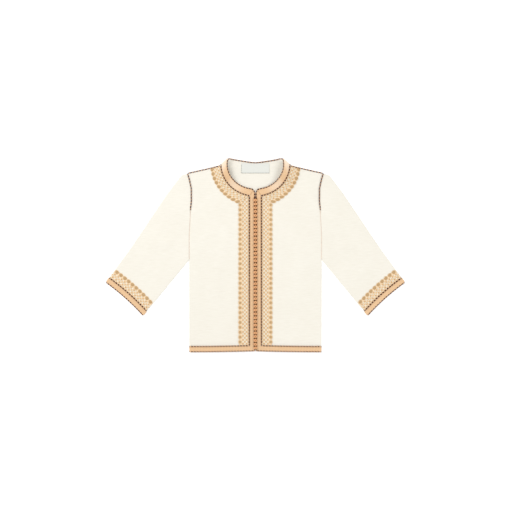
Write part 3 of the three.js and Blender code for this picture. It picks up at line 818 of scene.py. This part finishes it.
# The cuff's braid goes all round the sleeve
def makeCuffBraid(name, side):
    room = bandLook["room"] / cuffBraidLook["depth"]
    tube = tubePlace(side, cordSection + room, cuffSection - room, cuffBraidLook["top"])

    def place(u, w):
        x, y, z = tube(u, w)
        relief = bandRelief(w)
        return x, y, z + np.where(z > cuffBraidLook["top"] / 2, relief, -relief * 0.3)
    piece = shapedGrid("cuffBraid" + name, cuffBraidLook["around"], cuffBraidLook["across"], place,
                       (cuffBraidLook["length"], 1000), ring=True)
    changeUv(piece, lambda u, v: (v, u))  # so that the ribs lie across the band
    facesOut(piece)
    thicken(piece, cuffBraidLook["thickness"])
    paint(piece, goldBraid)
    settle(piece, "braid", "cuff_braid_" + name.lower())
    return piece


cuffBraids = onBothSides(makeCuffBraid)


backBandLook = {"thickness": 0.5, "columns": 12, "hemInset": 0.6, "neckInset": 0.3,
                "lengths": {"hem": 304, "neck": 158}}


# The outside's braids, which the jacket lies on: thin, flat and flush with the floor
def makeBackBraids():
    def hemPlan(u, w):
        x = lerp(-jacket["hemHalf"], jacket["hemHalf"], w)
        y = hemY(x) + lerp(backBandLook["hemInset"], jacket["hemBand"], u)
        return x, y, backBandLook["thickness"] + 0 * x

    def neckPlan(u, w):
        share = 2 * w - 1
        edgeX, edgeY = backNeckEdge(share)
        lowX = share * (jacket["shoulderNeck"][0] - backBandLook["neckInset"])
        topY = edgeY - jacket["seamRoom"] + backBandLook["neckInset"]
        x, y = lerp(lowX, edgeX, u), lerp(backNeckBandY(lowX), topY, u)
        return x, y, backBandLook["thickness"] + backRise(x, y)
    pieces = []
    for part, plan in (("hem", hemPlan), ("neck", neckPlan)):
        length = backBandLook["lengths"][part]
        piece = shapedGrid(part + "BraidBack", backBandLook["columns"], round(length / 2), plan,
                           (1000, length))
        thickness = backBandLook["thickness"] - 0.01  # a hair above the floor
        pieces.append(finishSheet(piece, thickness, goldBraid, "braid", part + "_braid_back"))
    return pieces


backBraids = makeBackBraids()
print("braids made")


# Cords: two plies laid round each other, one plum and one dark brown, held down by pale stitches.
# The real stitches are 5 to 6 mm apart and are drawn a little farther apart, so that they show

cordLook = {"pitch": 4.4, "plyRadius": 0.74, "plyOffset": 0.57, "plySides": 6, "stepsPerTurn": 7,
            "cornerReach": 6.0, "neckReach": 7.0, "sampleMm": 0.5, "stitchPitch": 6.6, "stitchWidth": 0.75,
            "stitchRise": 0.35, "stitchSlant": 0.4, "stitchReach": 1.38, "stitchTurn": 1.35,
            "hemStitch": 1.75}


# How far along a path each of its points lies
def pathLengths(points):
    return np.concatenate([[0], np.cumsum(np.linalg.norm(np.diff(points, axis=0), axis=1))])


def interpolate(at, lengths, table):
    return np.column_stack([np.interp(at, lengths, table[:, k]) for k in range(3)])


# A path through the given points, its corners rounded over reach
def roundedPath(points, reach):
    lengths = pathLengths(points)
    count = int(lengths[-1] / cordLook["sampleMm"])
    path = interpolate(np.linspace(0, lengths[-1], count), lengths, points)
    half = int(reach / cordLook["sampleMm"] / 2)
    if half < 1:
        return path
    before = 2 * path[0] - path[half:0:-1]
    after = 2 * path[-1] - path[-2:-half - 2:-1]
    padded = np.vstack([before, path, after])
    kernel = np.hanning(2 * half + 3)[1:-1]
    kernel /= kernel.sum()
    return np.column_stack([np.convolve(padded[:, k], kernel, "valid") for k in range(3)])


# The small stitches that hold a cord down, laid out flat along x and wrapped over it by wrap. They are
# broader over hemLength at the cord's start
def makeStitches(name, total, wrap, hemLength):
    def arch(u, w):
        angle, turn = -2 * np.pi * u, cordLook["stitchTurn"] * (2 * w - 1)
        reach = cordLook["stitchReach"] + 0.5 * cordLook["stitchRise"] * (1 + np.sin(angle))
        along = cordLook["stitchWidth"] * np.cos(angle) + cordLook["stitchSlant"] * np.sin(turn)
        return along + cordLook["stitchPitch"] / 2, reach * np.sin(turn), reach * np.cos(turn)
    stitch = closedTube(name, 6, 8, arch, (3, 6))
    count = max(1, int(total / cordLook["stitchPitch"]))
    repeat(stitch, count, cordLook["stitchPitch"])

    def place(x, y, z):
        number = np.floor(x / cordLook["stitchPitch"]) + 0.5
        fromCentre = x - number * cordLook["stitchPitch"]
        centre = number * total / count
        broader = np.where(centre < hemLength, cordLook["hemStitch"], 1.0)
        return wrap(np.clip(centre + fromCentre * broader, 0, total), y, z)
    movePoints(stitch, place)
    paint(stitch, stitchThread)
    return stitch


def makeTwistedCord(name, points, plies, stitches=True, reach=cordLook["cornerReach"], hemLength=0.0):
    path = roundedPath(points, reach)
    lengths = pathLengths(path)
    total = lengths[-1]
    headings = np.gradient(path, axis=0)
    headings /= np.linalg.norm(headings, axis=1)[:, None]
    asides = np.cross(headings, [0, 0, 1])
    asides /= np.linalg.norm(asides, axis=1)[:, None]
    ups = np.cross(asides, headings)
    rows = int(total / cordLook["pitch"] * cordLook["stepsPerTurn"])

    def wrap(s, aside, up):
        centre, toSide, toTop = (interpolate(s, lengths, table) for table in (path, asides, ups))
        points = centre + aside[:, None] * toSide + up[:, None] * toTop
        return points[:, 0], points[:, 1], points[:, 2]
    pieces = []
    for k, material in enumerate(plies):
        def place(u, w, turn=np.pi * k):
            s = w * total
            twist = 2 * np.pi * (s / cordLook["pitch"] + 0.12 * np.sin(s / 23)) + turn
            taper = np.clip(np.minimum(s, total - s) / 0.5, 0.3, 1)
            angle = -2 * np.pi * u
            aside = cordLook["plyOffset"] * np.cos(twist) + cordLook["plyRadius"] * taper * np.cos(angle)
            up = cordLook["plyOffset"] * np.sin(twist) + cordLook["plyRadius"] * taper * np.sin(angle)
            return wrap(s, aside, up)
        ply = closedTube(name, cordLook["plySides"], rows, place, (5, total))
        paint(ply, material)
        pieces.append(ply)
    if stitches:
        pieces.append(makeStitches(name, total, wrap, hemLength))
    cord = joinPieces(name, pieces)
    smooth(cord, 75)
    return cord


darkPlies = (plumPly, brownPly)
frontCordLook = {"edgeShift": -0.45, "edgeHeight": 3.0, "laidHeight": 4.3, "edgeEnd": 1.93, "hemPoints": 40}


# From the side along the hem, up the front and round the neck to lastPlace
def frontCordPoints(side, line, shift, level, hemShift, lastPlace):
    hemX = np.linspace(jacket["hemHalf"], line["frontX"] + shift, frontCordLook["hemPoints"])
    front = linePoint(line, shift, np.linspace(hemShift, 1, 90)[1:])
    neck = linePoint(line, shift, np.linspace(1, lastPlace, 60)[1:])
    x = np.concatenate([hemX, front[0], neck[0]])
    y = np.concatenate([hemY(hemX) + (hemShift + 1) * jacket["hemBand"], front[1], neck[1]])
    return np.column_stack([side * x, y, level + frontRise(side, np.minimum(x, 148), y)])


def makeFrontCords(name, side):
    shift = frontCordLook["edgeShift"]
    edge = frontCordPoints(side, edgeLine, shift, frontCordLook["edgeHeight"], -1, frontCordLook["edgeEnd"])
    inner = frontCordPoints(side, bandLine, 0, frontCordLook["laidHeight"], 0, 2)
    pieces = []
    for part, points in (("edge", edge), ("inner", inner)):
        hemLength = jacket["hemHalf"] - points[frontCordLook["hemPoints"] - 1, 0] * side
        piece = makeTwistedCord(part + "Cord" + name, points, darkPlies, hemLength=hemLength)
        settle(piece, "cord", f"{part}_cord_{name.lower()}")
        pieces.append(piece)
    return pieces


frontCords = onBothSides(makeFrontCords)


backCordLook = {"height": 1.9, "share": 0.93, "seamPlace": 1.99}


# The cord of the back neck goes on from one front's edge cord to the other's
def makeBackNeckCord():
    x, y = backNeckEdge(np.linspace(-backCordLook["share"], backCordLook["share"], 60))
    back = np.column_stack([x, y, backCordLook["height"] + backRise(x, y)])
    ends = []
    for side in (-1, 1):
        places = np.array([frontCordLook["edgeEnd"], backCordLook["seamPlace"]])
        endX, endY = linePoint(edgeLine, frontCordLook["edgeShift"], places)
        level = frontCordLook["edgeHeight"] + frontRise(side, endX, endY)
        end = np.column_stack([side * endX, endY, level])
        ends.append(end if side < 0 else end[::-1])
    points = np.vstack([ends[0], back, ends[1]])
    piece = makeTwistedCord("neckCordBack", points, darkPlies, reach=cordLook["neckReach"])
    settle(piece, "cord", "neck_cord_back")
    return piece


backNeckCord = makeBackNeckCord()


seamCordLook = {"shoulderZ": 2.9, "armholeZ": 3.2, "sunkenZ": 1.75, "dive": 1.3}


# Dark cords in the shoulder seam and the top of the armhole; lower down a cream one lies in the seam
def makeSeamCords(name, side):
    (sx, sy), (nx, ny) = jacket["shoulder"], jacket["shoulderNeck"]
    shares = np.linspace(0.02, 0.98, 30)
    x, y = lerp(nx, sx, shares), lerp(ny, sy, shares)
    shoulderCord = np.column_stack([side * x, y, seamCordLook["shoulderZ"] + rise(side * x, y)])
    topY = np.linspace(sy, jacket["sunkenCordY"] - 4, 40)
    lowY = np.linspace(jacket["sunkenCordY"] - 3, jacket["underarmY"] + 2, 60)
    dive = seamCordLook["dive"] * smoothStep((jacket["sunkenCordY"] + 10 - topY) / 14)
    upper = np.column_stack([side * sideX(topY), topY, seamCordLook["armholeZ"] - dive])
    lower = np.column_stack([side * sideX(lowY), lowY, seamCordLook["sunkenZ"] + 0 * lowY])
    pieces = [makeTwistedCord("shoulderCord" + name, shoulderCord, darkPlies),
              makeTwistedCord("armholeCord" + name, upper, darkPlies),
              makeTwistedCord("sunkenCord" + name, lower, (creamPly, creamPly), False)]
    settle(pieces[0], "cord", "shoulder_cord_" + name.lower())
    settle(pieces[1], "cord", "armhole_cord_" + name.lower())
    settle(pieces[2], "cord")
    return pieces


seamCords = onBothSides(makeSeamCords)


cuffCordLook = {"margin": 0.004, "edgeHeight": 1.4}


def makeCuffCords(name, side):
    shares = np.linspace(cuffCordLook["margin"], 1 - cuffCordLook["margin"], 50)
    pieces = []
    sections = (("Inner", cordSection, frontCordLook["laidHeight"]),
                ("Edge", cuffSection, cuffCordLook["edgeHeight"]))
    for part, section, height in sections:
        x, y = sleevePlan(shares, section)
        points = np.column_stack([side * x, y, height + 0 * x])
        piece = makeTwistedCord("cuffCord" + part + name, points, darkPlies)
        settle(piece, "cord", f"cuff_{part.lower()}_cord_{name.lower()}")
        pieces.append(piece)
    return pieces


cuffCords = onBothSides(makeCuffCords)
print("cords made")


# Lace: a net of round eyelets between knots of thread, and scallops with a satin-stitched petal each,
# first laid out flat along x with its width along y, then wrapped onto the jacket. A real net is of
# finer thread with smaller eyelets, drawn coarser to show

laceLook = {"width": 24.3, "thickness": 0.45, "pitch": 9.06, "rowTops": (0.3, 2.7, 7.0, 11.2, 15.2),
            "holes": ((1.2, 0.7), (1.95, 1.7), (1.9, 1.6), (1.9, 1.5)), "rim": 0.5, "rimHeight": 0.35,
            "clumps": ((1.3, 0.8), (1.8, 1.5), (1.5, 1.2), (1.6, 1.3)), "clumpHeight": 0.7, "around": 16,
            "scallopPitch": 11.24, "scallopDepth": 2.6, "scallopShare": 0.95, "scallopStart": 15.2,
            "petalAt": 19.8, "petalRadii": (4.3, 3.9, 0.9), "petalFlare": 0.22,
            "beadAt": 17.2, "beadRadii": (1.7, 1.5, 0.8),
            "base": 3.45, "corner": 1.004, "cordRoom": 1.3, "mitreGap": 0.8,
            "frontCounts": (41, 33), "shortCounts": (12, 10), "frontShifts": (-1.45, 1.35)}


# A net cell: from its rectangle in to a raised rim and the eyelet's edge
def makeEyelet(row, atX):
    low, high = laceLook["rowTops"][row], laceLook["rowTops"][row + 1]
    pitch, (holeX, holeY), rim = laceLook["pitch"], laceLook["holes"][row], laceLook["rim"]

    def place(u, w):
        turn = np.round(u * laceLook["around"]) * 4 / laceLook["around"] % 4
        quarter, run = turn.astype(int), turn % 1 - 0.5
        boxX = np.select([quarter == 0, quarter == 1, quarter == 2], [run, 0.5, -run], -0.5) * pitch
        boxY = np.select([quarter == 0, quarter == 1, quarter == 2], [-0.5, run, 0.5], -run) * (high - low)
        angle = np.pi / 2 * turn - 0.75 * np.pi
        spread = np.where(w < 0.75, rim, 0.0)
        x = np.where(w < 0.25, boxX, (holeX + spread) * np.cos(angle))
        y = np.where(w < 0.25, boxY, (holeY + spread) * np.sin(angle))
        z = np.where((w > 0.25) & (w < 0.75), laceLook["rimHeight"], 0.0)
        return x + atX, y + (low + high) / 2, z
    cell = shapedGrid("eyelet", laceLook["around"], 2, place, ring=True)
    paint(cell, goldLace, paleStitch)
    indices = [0] * laceLook["around"] + [1] * laceLook["around"]
    cell.data.polygons.foreach_set("material_index", indices)
    return cell


# A flattened ball of thread
def makeDot(x, y, radii, height, material, segments=8, flare=0.0):
    dot = makeBall(segments, 5)
    movePoints(dot, lambda px, py, pz: (
        x + px * radii[0] * (1 + flare * py), y + py * radii[1], height + pz * radii[2]))
    paint(dot, material)
    return dot


# Cuts off what lies outside each line; a plane's normal has parts of 1 at most, so it is scaled
def cutLace(piece, cuts, fill):
    for (x, y), (outX, outY) in cuts:
        size = math.hypot(outX, outY)
        inEditMode(piece, lambda: bpy.ops.mesh.bisect(
            plane_co=(x * mm, y * mm, 0), plane_no=(outX / size, outY / size, 0),
            clear_outer=True, use_fill=fill))


def makeScallop():
    pitch, start = laceLook["scallopPitch"], laceLook["scallopStart"]

    def place(u, w):
        swell = laceLook["scallopDepth"] * (np.abs(np.sin(np.pi * u)) - laceLook["scallopShare"])
        edge = laceLook["width"] + swell
        rays = 0.12 * np.cos(2 * np.pi * 5 * u) * (w > 0.3)
        return pitch * (u - 1), lerp(start, edge, w), 0.1 + rays + 0.3 * (w > 0.9)
    scallop = shapedGrid("scallop", 10, 5, place)
    paint(scallop, goldLace)
    return scallop


# Flat lace, whole cells long; the shifts say where net and scallops begin, and a cut is a point
# of its line and the way out of the lace
def makeFlatLace(name, counts, shifts=(0.0, 0.0), cut=None):
    (cells, scallops), (netShift, scallopShift) = counts, shifts
    pitch, step = laceLook["pitch"], laceLook["scallopPitch"]
    length = cells * pitch
    cuts = [((0, 0), (-1, 0)), ((length, 0), (1, 0))] + ([cut] if cut else [])
    net, dots = [], []
    for row, tops in enumerate(zip(laceLook["rowTops"], laceLook["rowTops"][1:])):
        atX = pitch * (0.5 * (row % 2) - 0.5)
        net.append(repeat(makeEyelet(row, atX), cells + 2, pitch))
        radii = laceLook["clumps"][row] + (laceLook["clumpHeight"],)
        clump = makeDot(atX + pitch / 2, sum(tops) / 2, radii, 0.0, goldStitch)
        dots.append(repeat(clump, cells + 2, pitch))
    for piece in net + dots:
        movePoints(piece, lambda x, y, z: (x + netShift, y, z))
    scallop = makeScallop()
    petal = makeDot(-step / 2, laceLook["petalAt"], laceLook["petalRadii"], 0.1, petalStitch, 16,
                    laceLook["petalFlare"])
    bead = makeDot(-step, laceLook["beadAt"], laceLook["beadRadii"], 0.2, paleStitch)
    edging = [scallop, petal, bead]
    scale = length / (scallops * step)
    for piece in edging:
        repeat(piece, scallops + 3, step)
        movePoints(piece, lambda x, y, z: (x * scale + scallopShift, y, z))
    sheet = joinPieces(name, net + edging[:1])
    cutLace(sheet, cuts, False)
    facesUp(sheet)
    thicken(sheet, laceLook["thickness"])
    thread = joinPieces(name, dots + edging[1:])
    cutLace(thread, cuts, True)
    return joinPieces(name, [sheet, thread]), length


def settleLace(lace, wrap, node):
    movePoints(lace, wrap)
    facesOut(lace)
    smooth(lace, 60)
    settle(lace, "lace", node)
    return lace


def makeFrontLace(name, side):
    room, corner = laceLook["cordRoom"], laceLook["corner"]
    startX = bandLine["frontX"] + room
    foot = hemY(startX) + jacket["hemBand"] + room + 0.1
    (x0, y0), (x1, y1) = linePoint(bandLine, room, corner), linePoint(laceLine, 0, corner)
    mitre = ((y0 - laceLook["mitreGap"] - foot, x0 - startX), (x1 - x0, y0 - y1))
    lace, length = makeFlatLace("frontLace" + name, laceLook["frontCounts"], laceLook["frontShifts"], mitre)

    def wrap(s, t, h):
        x, y = startX + t, foot + s
        return side * x, y, laceLook["base"] + h + frontRise(side, x, y)
    return settleLace(lace, wrap, "front_lace_" + name.lower())


def makeNeckLace(name, side):
    lace, length = makeFlatLace("neckLace" + name, laceLook["shortCounts"])

    def wrap(s, t, h):
        place = lerp(laceLook["corner"], 2, s / length)
        x0, y0 = linePoint(bandLine, laceLook["cordRoom"], place)
        x1, y1 = linePoint(laceLine, 0, place)
        share = t / laceLook["width"]
        x, y = lerp(x0, x1, share), lerp(y0, y1, share)
        y = np.where(place > 1.85, belowShoulder(x, y, laceLook["cordRoom"]), y)
        return side * x, y, laceLook["base"] + h + frontRise(side, x, y)
    return settleLace(lace, wrap, "neck_lace_" + name.lower())


def makeCuffLace(name, side):
    lace, length = makeFlatLace("cuffLace" + name, laceLook["shortCounts"])

    def wrap(s, t, h):
        section = lerp(cordSection - 0.05, laceSection, t / laceLook["width"])
        x, y = sleevePlan(lerp(0.01, 0.99, s / length), section)
        return side * x, y, laceLook["base"] + h
    return settleLace(lace, wrap, "cuff_lace_" + name.lower())


laces = onBothSides(lambda name, side: [
    makeFrontLace(name, side), makeNeckLace(name, side), makeCuffLace(name, side)])
print("lace made")


# Knotted buttons: one knot of silk cord, copied down the front on its thread, with a dark loop's
# two ends showing between each knot and the next

knotLook = {"count": 40, "firstY": 126.5, "lastY": -213.0, "radii": (4.3, 3.0, 2.5), "centreZ": 7.0,
            "around": 32, "rings": 18, "threadRadius": 0.9, "threadZ": 5.2, "threadTwist": 2.9,
            "loopX": 2.3, "loopZ": 5.6, "loopRadius": 0.9, "loopThread": 0.7,
            "askew": (0.5, 0.22, 0.12, 0.25, 0.3)}  # most of turn, two tilts and two shifts


# Strands cross each other in two slants, and sink in at the middle
def knotPlace(u, w):
    theta, phi = 2 * np.pi * u, np.pi * np.clip(w, 0, 1)
    strands = np.maximum(np.cos(4 * theta + 5 * phi), np.cos(4 * theta - 5 * phi))
    dimple = 0.4 * np.exp(-(phi / 0.36) ** 2)
    rx, ry, rz = knotLook["radii"]
    swell = 1 + 0.13 * strands * np.sin(phi) ** 0.5
    across = np.sin(phi) ** 0.85 * swell
    return rx * across * np.cos(theta), ry * across * np.sin(theta), rz * (np.cos(phi) * swell - dimple)


# A copy of model for each place, with its own mesh, whose points go where seat says
def copyAlong(model, places, seat):
    copies = []
    for place in places:
        selectOnly(model)
        bpy.ops.object.duplicate()
        copy = bpy.context.object
        movePoints(copy, lambda x, y, z: seat(place, x, y, z))
        copies.append(copy)
    selectOnly(model)
    bpy.ops.object.delete()
    return copies


def makeKnots():
    rng = np.random.default_rng(7)
    model = shapedGrid("knotButtons", knotLook["around"], knotLook["rings"], knotPlace, (1000, 1000),
                       ring=True)
    facesOut(model)
    smooth(model, 75)
    paint(model, shadedKnotSilk)
    centres = np.linspace(knotLook["firstY"], knotLook["lastY"], knotLook["count"])
    askew = rng.uniform(-1, 1, (knotLook["count"], 5)) * knotLook["askew"]

    def seatKnot(k, x, y, z):
        turn, tiltX, tiltY, shiftX, shiftY = askew[k]
        wide = x * math.cos(turn) - y * math.sin(turn) * 1.2
        long = y * math.cos(turn) + x * math.sin(turn) * 0.83
        height = z + knotLook["centreZ"] + tiltX * long + tiltY * wide
        return wide + shiftX, long + centres[k] + shiftY, height
    pieces = copyAlong(model, range(knotLook["count"]), seatKnot)

    bpy.ops.mesh.primitive_torus_add(
        major_radius=knotLook["loopRadius"] * mm, minor_radius=knotLook["loopThread"] * mm,
        major_segments=10, minor_segments=6)
    loop = bpy.context.object
    smooth(loop, 75)
    paint(loop, darkSilk)
    step = centres[0] - centres[1]
    loopPlaces = [(side, centre + step / 2) for centre in centres for side in (-1, 1)]
    pieces += copyAlong(loop, loopPlaces, lambda place, x, y, z: (
        x + place[0] * knotLook["loopX"], y * 1.1 + place[1], z + knotLook["loopZ"]))
    length = knotLook["firstY"] - knotLook["lastY"]

    def threadPlace(u, w):
        angle = -2 * np.pi * u
        twist = np.sin(2 * np.pi * w * length / knotLook["threadTwist"])
        radius = knotLook["threadRadius"] * (1 + 0.15 * twist)
        y = lerp(knotLook["lastY"], knotLook["firstY"], w)
        return radius * np.cos(angle), y, knotLook["threadZ"] + radius * np.sin(angle)
    thread = closedTube("knotThread", 8, 240, threadPlace, (300, 300))
    smooth(thread, 60)
    paint(thread, goldStitch)
    piece = joinPieces("knotButtons", pieces + [thread])
    settle(piece, "knots", "knot_buttons")
    return piece


knotButtons = makeKnots()
print("knots made")


# Label: a bare satin ribbon with turned ends, sewn in at the back neck

labelLook = {"width": 65.0, "height": 22.6, "topY": 211.6, "under": 1.3, "thickness": 0.5, "turning": 1.6,
             "stitchMm": 3.2, "stitchGap": 0.5, "stitchRadius": 0.55, "inset": 0.6, "stitchTop": 2.5}


def makeLabel():
    def place(u, w):
        x, y = (u - 0.5) * labelLook["width"], labelLook["topY"] - (1 - w) * labelLook["height"]
        toEdge = np.minimum(np.minimum(u, 1 - u) * labelLook["width"], w * labelLook["height"])
        full = 0.65 + 0.35 * np.sqrt(np.clip(toEdge / labelLook["turning"], 0, 1))
        wave = 0.12 * np.sin(x / 9) * w
        return x, y, labelLook["under"] + labelLook["thickness"] * full + wave
    piece = shapedGrid("neckLabel", 60, 24, place, (65, 22))
    facesUp(piece)
    thicken(piece, labelLook["thickness"] * 0.6)
    paint(piece, whiteSatin)
    stitches = []
    inset, half = labelLook["inset"], labelLook["width"] / 2
    high, low = labelLook["topY"] - labelLook["stitchTop"], labelLook["topY"] - labelLook["height"] + inset
    corners = [(-half + inset, high), (-half + inset, low), (half - inset, low), (half - inset, high)]
    # The grey stitches at the left end and the foot draw the label's shadow line: painted shadow
    threads = (labelShadowThread, labelShadowThread, whiteSatin)  # the right end is sewn in white
    for (x0, y0), (x1, y1), material in zip(corners, corners[1:], threads):
        length = math.hypot(x1 - x0, y1 - y0)
        count = int(length / (labelLook["stitchMm"] + labelLook["stitchGap"]))
        for k in range(count):
            share = (k + 0.5) / count
            stitch = makeBall(6, 4)
            dx, dy = (x1 - x0) / length, (y1 - y0) / length

            def lay(x, y, z):
                long, wide = x * labelLook["stitchMm"] / 2, y * labelLook["stitchRadius"]
                top = labelLook["under"] + labelLook["thickness"] + 0.05
                return (lerp(x0, x1, share) + long * dx - wide * dy,
                        lerp(y0, y1, share) + long * dy + wide * dx, z * labelLook["stitchRadius"] + top)
            movePoints(stitch, lay)
            paint(stitch, material)
            stitches.append(stitch)
    piece = joinPieces("neckLabel", [piece] + stitches)
    settle(piece, "label", "label")
    return piece


neckLabel = makeLabel()
print("label made")


# For each side, the trims sewn on its front gathered in a list, and its cuff cords listed

for name in sides:
    buttons = [knotButtons] if name == "Left" else []
    trims = [*frontBraids[name], *frontCords[name], *laces[name][:2], *seamCords[name][:2], *buttons]
    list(cuffCords[name])
